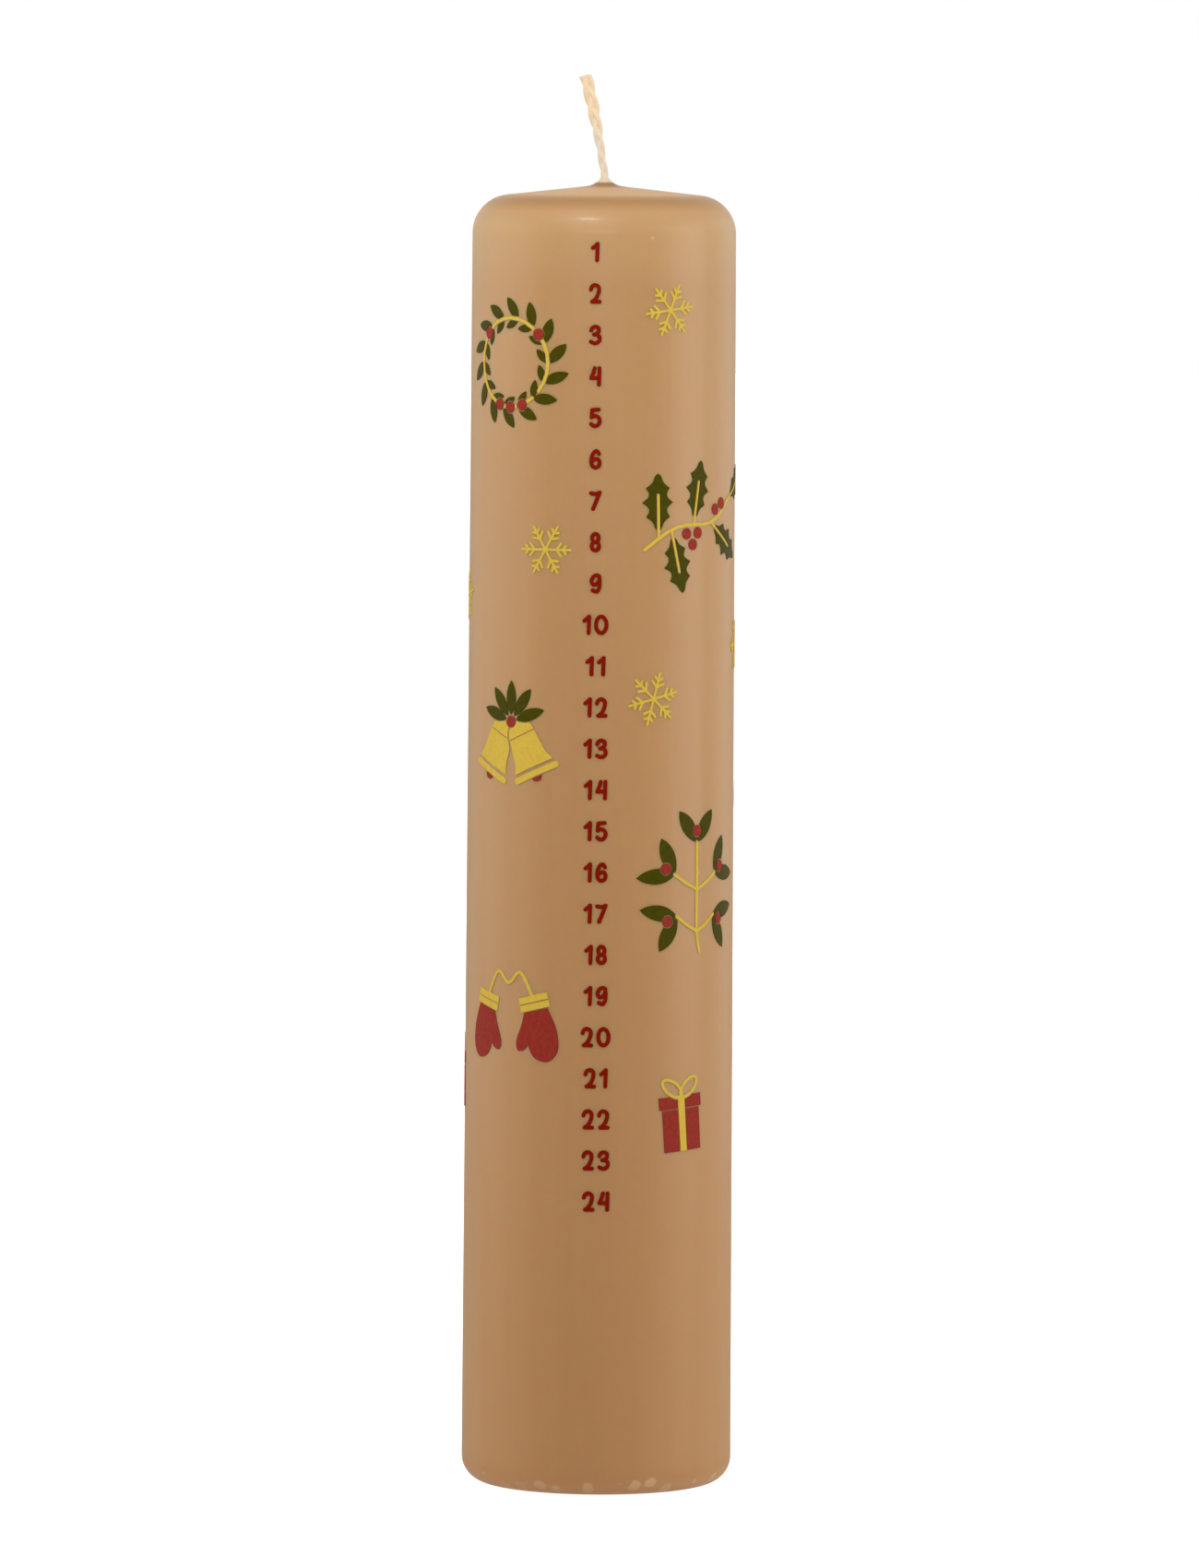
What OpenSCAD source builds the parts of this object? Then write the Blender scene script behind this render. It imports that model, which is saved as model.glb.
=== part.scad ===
// Calendar candle: a dipped pillar candle that burns down one number a day.
// Millimetres, +Z up. The origin is the middle of the flat base, and the numbers face -Y.

/* [Wax] */
// Height of the wax on its axis, from the base to the foot of the wick
candle_h = 250; // [150:1:350]
// Diameter at the foot, just above its round edge
foot_d = 52; // [44:0.5:80]
// Diameter at the shoulder, just below its round edge
shoulder_d = 50.5; // [43:0.5:79]
// Radius of the round edge at the foot
foot_round = 5; // [3:0.5:10]
// Radius of the round edge at the shoulder
shoulder_round = 7.4; // [4:0.1:12]
// Slope of the top, from the wick down to the shoulder, in degrees
top_slope = 6.3; // [2:0.1:14]
// Thickness of the dyed wax that the pressed core is dipped in
dip_t = 1.6; // [0.8:0.1:3]
// Width of the dyed rim round the bare core, on the planed base
foot_rim = 0.8; // [0.4:0.1:2]
// Radius of the hollow curve of wax that climbs the wick
climb_round = 4; // [1:0.1:6]
// Slope of that curve where it meets the wick, in degrees
climb_slope = 55; // [30:1:80]

/* [Wick] */
// Diameter of the wick where the wax holds it
wick_d = 1.3; // [1:0.1:3]
// Gap all round the wick in its channel
wick_gap = 0.05; // [0.02:0.01:0.2]
// Length of wick above the wax
wick_free = 19.9; // [8:0.1:40]
// Width of the wick at its cut end, where it flattens out
wick_tip_w = 2.3; // [1.6:0.1:4]
// Lean of the wick where it leaves the wax, in degrees
wick_lean = 7.5; // [0:0.5:15]
// Lean of the wick at its cut end, in degrees
wick_tip_lean = 14.5; // [0:0.5:30]

/* [Numbers] */
// Height of the numerals
digit_h = 3.9; // [2.5:0.1:6]
// Width of the numerals' pen line
digit_pen = 0.76; // [0.4:0.02:0.9]
// Gap between the two numerals of a number
digit_gap = 0.55; // [0.3:0.05:1.2]
// Drop from the top of the wax to the middle of the first number
first_day_drop = 12.6; // [10:0.1:25]
// Height of the middle of the last number above the base
last_day_h = 56.8; // [15:0.1:80]
// Sideways place of the last number
column_x = -0.4; // [-3:0.1:3]
// How far the column drifts sideways from the last number up to the first
column_drift = -1.3; // [-4:0.1:4]

/* [Ornament] */
// Thickness of the printed film
film_t = 0.12; // [0.06:0.02:0.3]
// Width of the pen line of stems and cords
stem_pen = 0.6; // [0.4:0.05:1]
// Gap left between two colours that lie side by side
colour_gap = 0.2; // [0.1:0.05:0.4]
// Diameter of a berry
berry_d = 2.2; // [1.4:0.1:3]
// Length of the holly's stem
holly_span = 22; // [16:1:26]
// Length of a holly leaf
holly_l = 11; // [8:0.5:13]
// Width of a holly leaf
holly_w = 6; // [4:0.5:8]
// Diameter of the wreath's ring
wreath_d = 17; // [12:0.5:19]
// Length of a wreath leaf
wreath_leaf_l = 5; // [3:0.5:6]
// Height of a bell
bell_h = 10.5; // [7:0.5:12]
// Thickness of a bell's lip
bell_lip_t = 1.2; // [0.6:0.1:1.6]
// Diameter of a snowflake
flake_d = 10.5; // [6:0.5:13]
// Height of the mistletoe
mistletoe_span = 25; // [18:1:30]
// Length of a mitten from its cuff to its tip
mitten_l = 10; // [7:0.5:11.5]
// Height of a mitten's cuff, in its two bands
cuff_h = 3; // [2:0.1:4]
// Width of a gift box's lid
gift_w = 10; // [7:0.5:12]
// Height of a gift box below its lid
gift_h = 8; // [5:0.5:11]
// Height of the lid
lid_h = 2.4; // [1.6:0.1:3.5]
// How far the lid stands out past the box on each side
lid_lap = 0.6; // [0.2:0.1:1.2]
// Width of the ribbon round the box
ribbon_w = 1.5; // [0.8:0.1:2.5]
// Length of a loop of its bow
loop_l = 5; // [3:0.5:6]

/* [Hidden] */
dyed_wax = "#C39468";
bare_wax = "#EADCC4";
cotton = "#F0D7B4";
red_ink = "#7F1A0C";
green_ink = "#48471A";
yellow_ink = "#D6B04A";

days = 24;
ORNAMENTS = ["holly_leaves", "holly_stems", "holly_berries", "wreath_leaves", "wreath_twig",
    "wreath_berries", "bells", "bell_clappers", "bell_leaves", "snowflakes", "mistletoe_leaves",
    "mistletoe_stems", "mistletoe_berries", "mittens", "mitten_cuffs", "gift_boxes", "gift_ribbons"];

turn_fn = 120;       // facets round the candle
arc_step = 9;        // degrees between the points of a rounded corner
pen_fn = 12;         // facets round the end of a pen line
berry_fn = 18;       // facets round a berry
curve_steps = 4;     // points between two knots of a smooth line
leaf_steps = 9;      // points along a plain leaf
spine_steps = 6;     // points along a leaf for each of its spines
wick_sides = 16;
wick_rings = 12;     // rings along the free end of the wick
hair = 0.01;         // width of the ribbon that a pen line is grown from

foot_r = foot_d / 2;
shoulder_r = shoulder_d / 2;
channel_r = wick_d / 2 + wick_gap;
climb_r = channel_r + climb_round * (sin(climb_slope) - sin(top_slope));
climb_z = top_z(climb_r) + climb_round * (cos(top_slope) - cos(climb_slope));
core_round = max(shoulder_round - dip_t, 1);
core_base_r = foot_r - foot_round - foot_rim;
shoulder_z = candle_h - shoulder_r * tan(top_slope);
dip_drop = dip_t / cos(top_slope);
digit_unit = (digit_h - digit_pen) / 10;

// Sizes that follow from the ones above

function day_name(n) = str("day_", n < 10 ? "0" : "", n);

// Height of a day on the scale; days between two numbers are allowed
function day_z(n) = candle_h - first_day_drop
    - (n - 1) * (candle_h - first_day_drop - last_day_h) / (days - 1);

// Sideways place of a day's number
function day_x(n) = column_x + column_drift * (days - n) / (days - 1);

// Radius of the wax's side at a height
function side_r(z) = foot_r + (shoulder_r - foot_r) * z / shoulder_z;

// Height of the sloping top at a radius
function top_z(r) = candle_h - r * tan(top_slope);

// Lines and curves

function unit(v) = v / norm(v);
function turned(v, a) = [v.x * cos(a) - v.y * sin(a), v.x * sin(a) + v.y * cos(a)];
function reversed(p) = [for (i = [len(p) - 1:-1:0]) p[i]];
function mirrored(p) = [for (q = reversed(p)) [-q.x, q.y]];

// The corner at b between a and c, rounded to radius r
function rounded(a, b, c, r) =
    let (u = unit(a - b), v = unit(c - b), half = acos(u * v) / 2)
    let (centre = b + unit(u + v) * r / sin(half), start = b + u * r / tan(half) - centre)
    let (turn = (180 - 2 * half) * sign(cross(b - a, c - b)), steps = ceil(abs(turn) / arc_step))
    [for (i = [0:steps]) centre + turned(start, turn * i / steps)];

// A smooth line through a list of knots
function smooth(p) = concat(
    [for (i = [0:len(p) - 2], s = [0:curve_steps - 1])
        spline(p[max(i - 1, 0)], p[i], p[i + 1], p[min(i + 2, len(p) - 1)], s / curve_steps)],
    [p[len(p) - 1]]);
function spline(a, b, c, d, t) =
    (2 * b + t * (c - a) + t * t * (2 * a - 5 * b + 4 * c - d) + t * t * t * (3 * b - 3 * c + d - a)) / 2;

// A closed oval line
function oval(centre, rx, ry, steps = 24) =
    [for (i = [0:steps]) centre + [rx * cos(360 * i / steps), ry * sin(360 * i / steps)]];

// One side of a pointed leaf along +X, with a number of spines and hollows this deep between them
function leaf_side(length, width, spines, hollow, steps) =
    [for (i = [0:steps]) let (t = i / steps)
        [length * t, width / 2 * pow(sin(180 * t), 0.75) * (1 - hollow * abs(sin(180 * spines * t)))]];

// A line drawn with a round pen
module pen(points, width) {
    offset(r = width / 2, $fn = pen_fn)
        polygon(concat(points, [for (q = reversed(points)) q + [hair, hair]]));
}

module leaf(length, width, spines = 1, hollow = 0) {
    side = leaf_side(length, width, spines, hollow, max(leaf_steps, spine_steps * spines));
    polygon(concat(side, [for (q = reversed(side)) [q.x, -q.y]]));
}

// The wax's side as a skin one film thick
module side_skin() {
    low = foot_round;
    high = shoulder_z - shoulder_round;
    rotate_extrude($fn = turn_fn)
        polygon([[side_r(low), low], [side_r(low) + film_t, low],
            [side_r(high) + film_t, high], [side_r(high), high]]);
}

// Wraps a flat drawing on the candle's side. Its middle lies at a bearing from the front,
// to the right when positive, and at a day's height. The offset joins the drawing into one outline.
module printed(bearing, day, tilt = 0) {
    intersection() {
        side_skin();
        rotate([0, 0, bearing])
            translate([0, 0, day_z(day)])
                rotate([90, 0, 0])
                    linear_extrude(foot_d)
                        offset(delta = 0)
                            rotate(tilt)
                                children();
    }
}

// The wax and the wick

// Outline of the core's outside, from the base up to the wick's channel
function core_outline() =
    let (base = [core_base_r, 0], foot = [foot_r - dip_t, foot_round])
    let (top = [shoulder_r - dip_t, top_z(shoulder_r - dip_t) - dip_drop])
    let (middle = [channel_r, top_z(channel_r) - dip_drop])
    concat([base], rounded(base, foot, top, foot_round / 2),
        rounded(foot, top, middle, core_round), [middle]);

// Outline of the dip's outside, from the base up to where it meets the wick
function dip_outline() =
    let (base = [0, 0], foot = [foot_r, 0], shoulder = [shoulder_r, shoulder_z])
    let (climb = [climb_r, top_z(climb_r)])
    concat(rounded(base, foot, shoulder, foot_round), rounded(foot, shoulder, climb, shoulder_round),
        climb_arc());

// The hollow curve that climbs the wick, from the sloping top to the channel
function climb_arc() =
    let (turn = climb_slope - top_slope, steps = ceil(turn / arc_step))
    let (centre = [climb_r, top_z(climb_r)] + climb_round * [sin(top_slope), cos(top_slope)])
    [for (i = [0:steps]) let (a = top_slope + turn * i / steps) centre - climb_round * [sin(a), cos(a)]];

module wax_core() {
    color(bare_wax)
        rotate_extrude($fn = turn_fn)
            polygon(concat([[channel_r, 0]], core_outline()));
}

module dip_coat() {
    color(dyed_wax)
        rotate_extrude($fn = turn_fn)
            polygon(concat(dip_outline(), reversed(core_outline())));
}

// The free wick widens between these shares of its length
wick_flare = [0.2, 0.7];

// Lean of the free wick at a share of its length
function wick_angle(s) = wick_lean + (wick_tip_lean - wick_lean) * s;

// Middle of the free wick at a ring, from its first ring where the wax lets it go
function wick_place(i) = i == 0 ? [0, 0, climb_z] : let (lean = wick_angle((i - 0.5) / wick_rings))
    wick_place(i - 1) + wick_free / wick_rings * [-sin(lean), 0, cos(lean)];

// Width of the free wick at a share of its length
function wick_width(s) =
    let (t = min(max((s - wick_flare[0]) / (wick_flare[1] - wick_flare[0]), 0), 1))
    wick_d + (wick_tip_w - wick_d) * t * t * (3 - 2 * t);

// One ring of the wick, square to a lean, this wide and with the same area of yarn
function wick_ring(place, lean, width) =
    let (thick = wick_d * wick_d / width)
    [for (k = [0:wick_sides - 1]) let (a = 360 * k / wick_sides)
        place + [width / 2 * cos(a) * cos(lean), thick / 2 * sin(a), width / 2 * cos(a) * sin(lean)]];

module wick() {
    rings = concat([wick_ring([0, 0, 0], 0, wick_d)], [for (i = [0:wick_rings]) let (s = i / wick_rings)
        wick_ring(wick_place(i), i == 0 ? 0 : wick_angle(s), wick_width(s))]);
    last = (len(rings) - 1) * wick_sides;
    color(cotton)
        polyhedron([for (r = rings, p = r) p], concat(
            [[for (k = [0:wick_sides - 1]) k], [for (k = [wick_sides - 1:-1:0]) last + k]],
            [for (i = [0:len(rings) - 2], k = [0:wick_sides - 1])
                let (a = i * wick_sides, b = a + wick_sides, n = (k + 1) % wick_sides)
                    [a + n, a + k, b + k, b + n]]));
}

// The numbers: each numeral is one or two pen lines on a grid ten high

numeral_w = [6.3, 2.9, 5.3, 5.4, 4.9, 5.3, 5.2, 5.3, 4.4, 5.1];

function numeral(d) =
    d == 0 ? [oval([3.15, 5], 3.15, 5)] :
    d == 1 ? [[[0, 7.4], [1.3, 8.4], [2.9, 10], [2.6, 0]]] :
    d == 2 ? [concat(
        smooth([[0, 7.3], [0.8, 9.2], [2.6, 10], [4.5, 9], [4.9, 6.7], [4, 3.6], [2.5, 1.3], [0.7, 0]]),
        [[5.3, 0]])] :
    d == 3 ? [smooth([[0.2, 7.7], [1.1, 9.4], [2.8, 10], [4.6, 9.2], [4.8, 7.3], [3.7, 5.8], [1.9, 5.2]]),
        smooth([[1.9, 5.2], [3.9, 5.1], [5.2, 3.9], [5.3, 1.9], [4.1, 0.4], [2.2, 0], [0.1, 0.9]])] :
    d == 4 ? [[[2.1, 10], [1.3, 7.1], [0, 4], [4.8, 4.1]], [[4.9, 10], [4.7, 0]]] :
    d == 5 ? [concat([[4.7, 10], [0.8, 9.8]],
        smooth([[0.4, 5.3], [2.6, 6.2], [4.7, 5.1], [5.3, 2.9], [4.2, 0.7], [2.2, 0], [0.1, 1.3]]))] :
    d == 6 ? [smooth([[4.8, 8.2], [3.7, 9.8], [2.1, 9.5], [0.7, 7.2], [0.1, 4], [0.8, 1.1], [2.6, 0],
        [4.6, 0.9], [5.2, 3], [4.3, 4.9], [2.5, 5.1], [0.6, 3.6]])] :
    d == 7 ? [concat(smooth([[0, 9.5], [1.7, 9.1], [3.5, 9.2], [5.3, 10]]), [[1.3, 0]])] :
    d == 8 ? [oval([2.2, 7.5], 1.95, 2.5), oval([2.2, 2.6], 2.2, 2.6)] :
    [smooth([[4.9, 9.2], [3.3, 10], [1.3, 9], [0.2, 6.5], [1.2, 4.3], [3.2, 4.7], [4.9, 6.9]]),
        smooth([[4.9, 9.2], [5.1, 6], [4.9, 2.6], [3.5, 0.1], [0.9, 0.9]])];

// A number with its middle at the origin
module number(n) {
    digits = n < 10 ? [n] : [floor(n / 10), n % 10];
    step = digit_gap + digit_pen;
    widths = [for (d = digits) numeral_w[d] * digit_unit];
    start = -(widths * [for (w = widths) 1] + step * (len(digits) - 1)) / 2;
    for (i = [0:len(digits) - 1])
        translate([start + (i == 0 ? 0 : widths[0] + step), -5 * digit_unit])
            for (line = numeral(digits[i]))
                pen(line * digit_unit, digit_pen);
}

module day(n) {
    color(red_ink)
        printed(asin(day_x(n) / side_r(day_z(n))), n)
            number(n);
}

// The ornaments: each is a flat drawing, set round the candle at [bearing, day, tilt].
// Where colours meet, the one beneath is cut back by the colour gap.

holly_sites = [[44, 7.6, 0], [-128, 5.4, 180]];
wreath_sites = [[-44, 3.7, 0], [-126, 14.6, 0]];
bell_sites = [[-42, 12.4, 0], [122, 4, 0]];
flake_sites = [[30, 2.4, 8], [-25, 8.2, 0], [23, 11.8, 15], [180, 3.2, 0], [-86, 9.4, 10], [86, 10.6, 0],
    [122, 20.6, 20], [-140, 21, 5]];
mistletoe_sites = [[46, 16.4, 0], [174, 10.4, 0]];
mitten_sites = [[-42, 19.4, 0], [118, 13.6, 0]];
gift_sites = [[38, 21.8, 4], [-176, 18.2, -6], [-94, 21, 5]];

module at_sites(sites) {
    for (s = sites)
        printed(s[0], s[1], s[2])
            children();
}

module berry(grow = 0) {
    circle(d = berry_d + 2 * grow, $fn = berry_fn);
}

// Holly: a curved stem with spined leaves on short stalks, and berries between them
holly_leaf_places = [[0.12, 68], [0.24, -100], [0.48, 58], [0.7, -58], [1, 4]];
holly_berry_places = [[0.4, -0.75], [0.47, -1.7], [0.53, -0.7], [0.77, 0.85], [0.87, 0.75]];
holly_rise = 0.42;

function holly_stem(s) = holly_span * [s - 0.5, holly_rise * (s - 0.5) + 0.07 * sin(360 * s)];

module on_holly_stem() {
    for (leaf_place = holly_leaf_places)
        translate(holly_stem(leaf_place[0]))
            rotate(atan(holly_rise) + leaf_place[1])
                children();
}

module holly_lines(grow = 0) {
    pen([for (s = [0:0.1:1]) holly_stem(s)], stem_pen + 2 * grow);
    on_holly_stem()
        pen([[0, 0], [0.75 * holly_l, 0]], 0.7 * stem_pen + 2 * grow);
}

module holly_dots(grow = 0) {
    for (b = holly_berry_places)
        translate(holly_stem(b[0]) + [0, b[1] * berry_d])
            berry(grow);
}

module holly_leaves() {
    color(green_ink)
        at_sites(holly_sites)
            difference() {
                on_holly_stem()
                    translate([0.12 * holly_l, 0])
                        leaf(holly_l, holly_w, 4, 0.4);
                holly_lines(colour_gap);
                holly_dots(colour_gap);
            }
}

module holly_stems() {
    color(yellow_ink)
        at_sites(holly_sites)
            difference() {
                holly_lines();
                holly_dots(colour_gap);
            }
}

module holly_berries() {
    color(red_ink)
        at_sites(holly_sites)
            holly_dots();
}

// Wreath: leaves in pairs along a ring, with berries between them
wreath_pairs = 14;
inner_leaf = 0.7;    // length of a leaf inside the ring, as a share of one outside
wreath_berry_turns = [250, 270, 290, 40, 140];

module wreath_dots(grow = 0) {
    for (a = wreath_berry_turns)
        rotate(a)
            translate([wreath_d / 2, 0])
                berry(grow);
}

module wreath_ring(grow = 0) {
    pen(oval([0, 0], wreath_d / 2, wreath_d / 2, 2 * wreath_pairs), stem_pen + 2 * grow);
}

module wreath_leaves() {
    color(green_ink)
        at_sites(wreath_sites)
            difference() {
                for (i = [0:wreath_pairs - 1], side = [-1, 1])
                    rotate(360 * i / wreath_pairs)
                        translate([wreath_d / 2, 0])
                            rotate(90 - side * 42)
                                scale(side > 0 ? 1 : inner_leaf)
                                    leaf(wreath_leaf_l, 0.42 * wreath_leaf_l);
                wreath_ring(colour_gap);
                wreath_dots(colour_gap);
            }
}

module wreath_twig() {
    color(yellow_ink)
        at_sites(wreath_sites)
            difference() {
                wreath_ring();
                wreath_dots(colour_gap);
            }
}

module wreath_berries() {
    color(red_ink)
        at_sites(wreath_sites)
            wreath_dots();
}

// Bells: a pair that swings apart under a fan of leaves, drawn one high and scaled to size
bell_swing = 24;
bell_half = smooth([[0, 1], [0.16, 0.97], [0.27, 0.84], [0.31, 0.55], [0.35, 0.28], [0.42, 0.12]]);

module bell_turn(side) {
    translate([side * 0.14 * bell_h, 0])
        rotate(side * bell_swing)
            translate([0, -bell_h])
                children();
}

module bell_body() {
    polygon(concat(bell_half, mirrored(bell_half)) * bell_h);
}

module bell_lip() {
    pen([[-0.42 * bell_h, 0], [0.42 * bell_h, 0]], bell_lip_t);
}

module bell_drawing() {
    difference() {
        bell_body();
        translate([0, 0.74 * bell_h])
            square([bell_h, colour_gap], center = true);
    }
    bell_lip();
}

module bell_fan(grow = 0) {
    for (a = [18:36:162])
        rotate(a)
            translate([berry_d / 2 + colour_gap, 0])
                offset(r = grow, $fn = pen_fn)
                    leaf(0.62 * bell_h, 0.22 * bell_h);
}

module bells() {
    color(yellow_ink)
        at_sites(bell_sites)
            difference() {
                union() {
                    bell_turn(1)
                        bell_drawing();
                    difference() {
                        bell_turn(-1)
                            bell_drawing();
                        bell_turn(1)
                            offset(r = 2 * colour_gap, $fn = pen_fn)
                                hull() {
                                    bell_body();
                                    bell_lip();
                                }
                    }
                }
                bell_fan(colour_gap);
                berry(colour_gap);
            }
}

module bell_clappers() {
    color(red_ink)
        at_sites(bell_sites) {
            for (side = [-1, 1])
                bell_turn(side)
                    difference() {
                        translate([0, -bell_lip_t / 2])
                            berry();
                        translate([-berry_d, -bell_lip_t / 2 - colour_gap])
                            square(2 * berry_d);
                    }
            berry();
        }
}

module bell_leaves() {
    color(green_ink)
        at_sites(bell_sites)
            bell_fan();
}

// Snowflake: six arms, each with two pairs of barbs
barb_turn = 52;

module flake_bar(length) {
    translate([0, -0.4 * stem_pen])
        square([length, 0.8 * stem_pen]);
}

module snowflakes() {
    color(yellow_ink)
        at_sites(flake_sites)
            for (a = [0:60:300])
                rotate(a) {
                    flake_bar(flake_d / 2);
                    for (place = [0.22, 0.34], side = [-1, 1])
                        translate([place * flake_d, 0])
                            rotate(side * barb_turn)
                                flake_bar((0.6 - place) * 0.42 * flake_d);
                }
}

// Mistletoe: a forked stem with blunt leaves in pairs, and a berry in each pair
mistletoe_forks = [[0, 0.34, 90], [-0.22, 0.1, 148], [0.22, 0.1, 32], [-0.2, -0.22, 205],
    [0.2, -0.22, 335]];

module on_mistletoe_forks() {
    for (f = mistletoe_forks)
        translate([f[0], f[1]] * mistletoe_span)
            rotate(f[2])
                children();
}

module mistletoe_lines(grow = 0) {
    span = mistletoe_span;
    pen(smooth([[0.03, -0.5], [0, -0.34], [0, 0], [0, 0.34]] * span), stem_pen + 2 * grow);
    for (f = mistletoe_forks)
        if (f[0] != 0)
            pen(smooth([[0, f[1] - 0.12], [f[0] / 2, f[1] - 0.07], [f[0], f[1]]] * span),
                stem_pen + 2 * grow);
}

module mistletoe_dots(grow = 0) {
    on_mistletoe_forks()
        translate([berry_d, 0])
            berry(grow);
}

module mistletoe_leaves() {
    color(green_ink)
        at_sites(mistletoe_sites)
            difference() {
                on_mistletoe_forks()
                    for (side = [-1, 1])
                        rotate(side * 36)
                            leaf(0.3 * mistletoe_span, 0.12 * mistletoe_span);
                mistletoe_lines(colour_gap);
                mistletoe_dots(colour_gap);
            }
}

module mistletoe_stems() {
    color(yellow_ink)
        at_sites(mistletoe_sites)
            mistletoe_lines();
}

module mistletoe_berries() {
    color(red_ink)
        at_sites(mistletoe_sites)
            mistletoe_dots();
}

// Mittens: a pair that hangs from its cord by banded cuffs, drawn one long and scaled to size
mitten_hand = smooth([[0.25, 0], [0.32, -0.45], [0.24, -0.85], [0, -1], [-0.24, -0.86], [-0.31, -0.6]]);
mitten_thumb = smooth([[-0.31, -0.6], [-0.42, -0.68], [-0.56, -0.66], [-0.55, -0.48], [-0.36, -0.2],
    [-0.25, 0]]);
mitten_cord = smooth([[-0.54, 0], [-0.28, 0.42], [0, 0.2], [0.28, 0.42], [0.54, 0]]);

module mitten_pair() {
    for (side = [0, 1])
        mirror([side, 0])
            translate([0.62 * mitten_l, 0])
                rotate(14)
                    children();
}

module mittens() {
    color(red_ink)
        at_sites(mitten_sites)
            mitten_pair()
                polygon(concat(mitten_hand, mitten_thumb) * mitten_l);
}

module mitten_cuffs() {
    band = (cuff_h - 2 * colour_gap) / 2;
    color(yellow_ink)
        at_sites(mitten_sites) {
            mitten_pair()
                for (row = [0, 1])
                    translate([-0.31 * mitten_l, colour_gap + row * (band + colour_gap)])
                        square([0.62 * mitten_l, band]);
            translate([0, cuff_h])
                pen(mitten_cord * mitten_l, stem_pen);
        }
}

// Gift box: a box under its lid, crossed by a ribbon that ends in two loops
loop_turn = 52;

module gift_ribbon(grow = 0) {
    top = colour_gap + lid_h;
    translate([-ribbon_w / 2 - grow, -gift_h - grow])
        square([ribbon_w + 2 * grow, gift_h + top + 2 * grow]);
    for (side = [-1, 1])
        translate([0, top])
            rotate(side * loop_turn)
                pen(oval([0, loop_l / 2], loop_l / 4, loop_l / 2, 16), stem_pen + 2 * grow);
}

module gift_boxes() {
    color(red_ink)
        at_sites(gift_sites)
            difference() {
                union() {
                    translate([lid_lap - gift_w / 2, -gift_h])
                        square([gift_w - 2 * lid_lap, gift_h]);
                    translate([-gift_w / 2, colour_gap])
                        square([gift_w, lid_h]);
                }
                gift_ribbon(colour_gap);
            }
}

module gift_ribbons() {
    color(yellow_ink)
        at_sites(gift_sites)
            gift_ribbon();
}

wax_core();
dip_coat();
wick();
for (n = [1:days]) day(n);
holly_leaves();
holly_stems();
holly_berries();
wreath_leaves();
wreath_twig();
wreath_berries();
bells();
bell_clappers();
bell_leaves();
snowflakes();
mistletoe_leaves();
mistletoe_stems();
mistletoe_berries();
mittens();
mitten_cuffs();
gift_boxes();
gift_ribbons();
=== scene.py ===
import math
import bpy
from mathutils import Matrix, Vector


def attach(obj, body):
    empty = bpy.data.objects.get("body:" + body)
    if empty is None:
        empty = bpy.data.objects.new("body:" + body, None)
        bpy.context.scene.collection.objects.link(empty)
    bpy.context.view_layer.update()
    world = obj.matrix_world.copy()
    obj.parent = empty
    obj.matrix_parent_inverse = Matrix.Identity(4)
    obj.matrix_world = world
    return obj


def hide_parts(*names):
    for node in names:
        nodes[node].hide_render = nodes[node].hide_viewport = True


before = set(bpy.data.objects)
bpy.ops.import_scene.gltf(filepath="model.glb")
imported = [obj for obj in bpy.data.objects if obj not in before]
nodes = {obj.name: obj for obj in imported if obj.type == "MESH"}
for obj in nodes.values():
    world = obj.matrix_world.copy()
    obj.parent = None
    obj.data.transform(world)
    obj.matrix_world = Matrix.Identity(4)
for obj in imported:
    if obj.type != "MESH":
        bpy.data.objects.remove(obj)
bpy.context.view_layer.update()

# A dipped pillar candle with printed day numbers and ornaments, in metres, standing on its base.
mm = 0.001
print("candle: frame loaded,", len(nodes), "nodes")


# Camera

view = {
    "distance": 2.0018,   # in front of the candle's axis
    "height": 0.2675,     # above the floor
    "sideways": -0.0002,
    "pitchDown": 3.793,   # degrees
    "roll": 0.392,        # degrees; the picture leans a little
    "lens": 239.4,        # mm on a 36 mm sensor, along the picture's long side
    "clip": (0.05, 40),   # nearest and farthest that it sees
}


def addCamera():
    bpy.ops.object.camera_add(location=(view["sideways"], -view["distance"], view["height"]))
    camera = bpy.context.object
    tilt = Matrix.Rotation(math.radians(90 - view["pitchDown"]), 3, "X")
    lean = Matrix.Rotation(math.radians(view["roll"]), 3, "Z")
    camera.rotation_euler = (tilt @ lean).to_euler()
    camera.data.lens = view["lens"]
    camera.data.clip_start, camera.data.clip_end = view["clip"]
    bpy.context.scene.camera = camera


addCamera()
print("candle: camera set")


# Helpers

def deselectAll():
    if bpy.context.object and bpy.context.object.mode != "OBJECT":
        bpy.ops.object.mode_set(mode="OBJECT")
    bpy.ops.object.select_all(action="DESELECT")


def pick(piece):
    deselectAll()
    piece.select_set(True)
    bpy.context.view_layer.objects.active = piece


def shadeSmooth(piece, degrees):
    pick(piece)
    bpy.ops.object.shade_smooth_by_angle(angle=math.radians(degrees))


def linearColour(code):
    channels = [int(code[i:i + 2], 16) / 255 for i in (1, 3, 5)]
    linear = [c / 12.92 if c <= 0.04045 else ((c + 0.055) / 1.055) ** 2.4 for c in channels]
    return (*linear, 1)


def addNode(tree, kind, settings):
    # A setting is an attribute of the node, a value for an input, or an output to link there
    node = tree.nodes.new(kind)
    for key, value in settings.items():
        if isinstance(value, bpy.types.NodeSocket):
            tree.links.new(value, node.inputs[key])
        elif isinstance(key, int) or key in node.inputs:
            node.inputs[key].default_value = value
        else:
            setattr(node, key, value)
    return node


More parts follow.
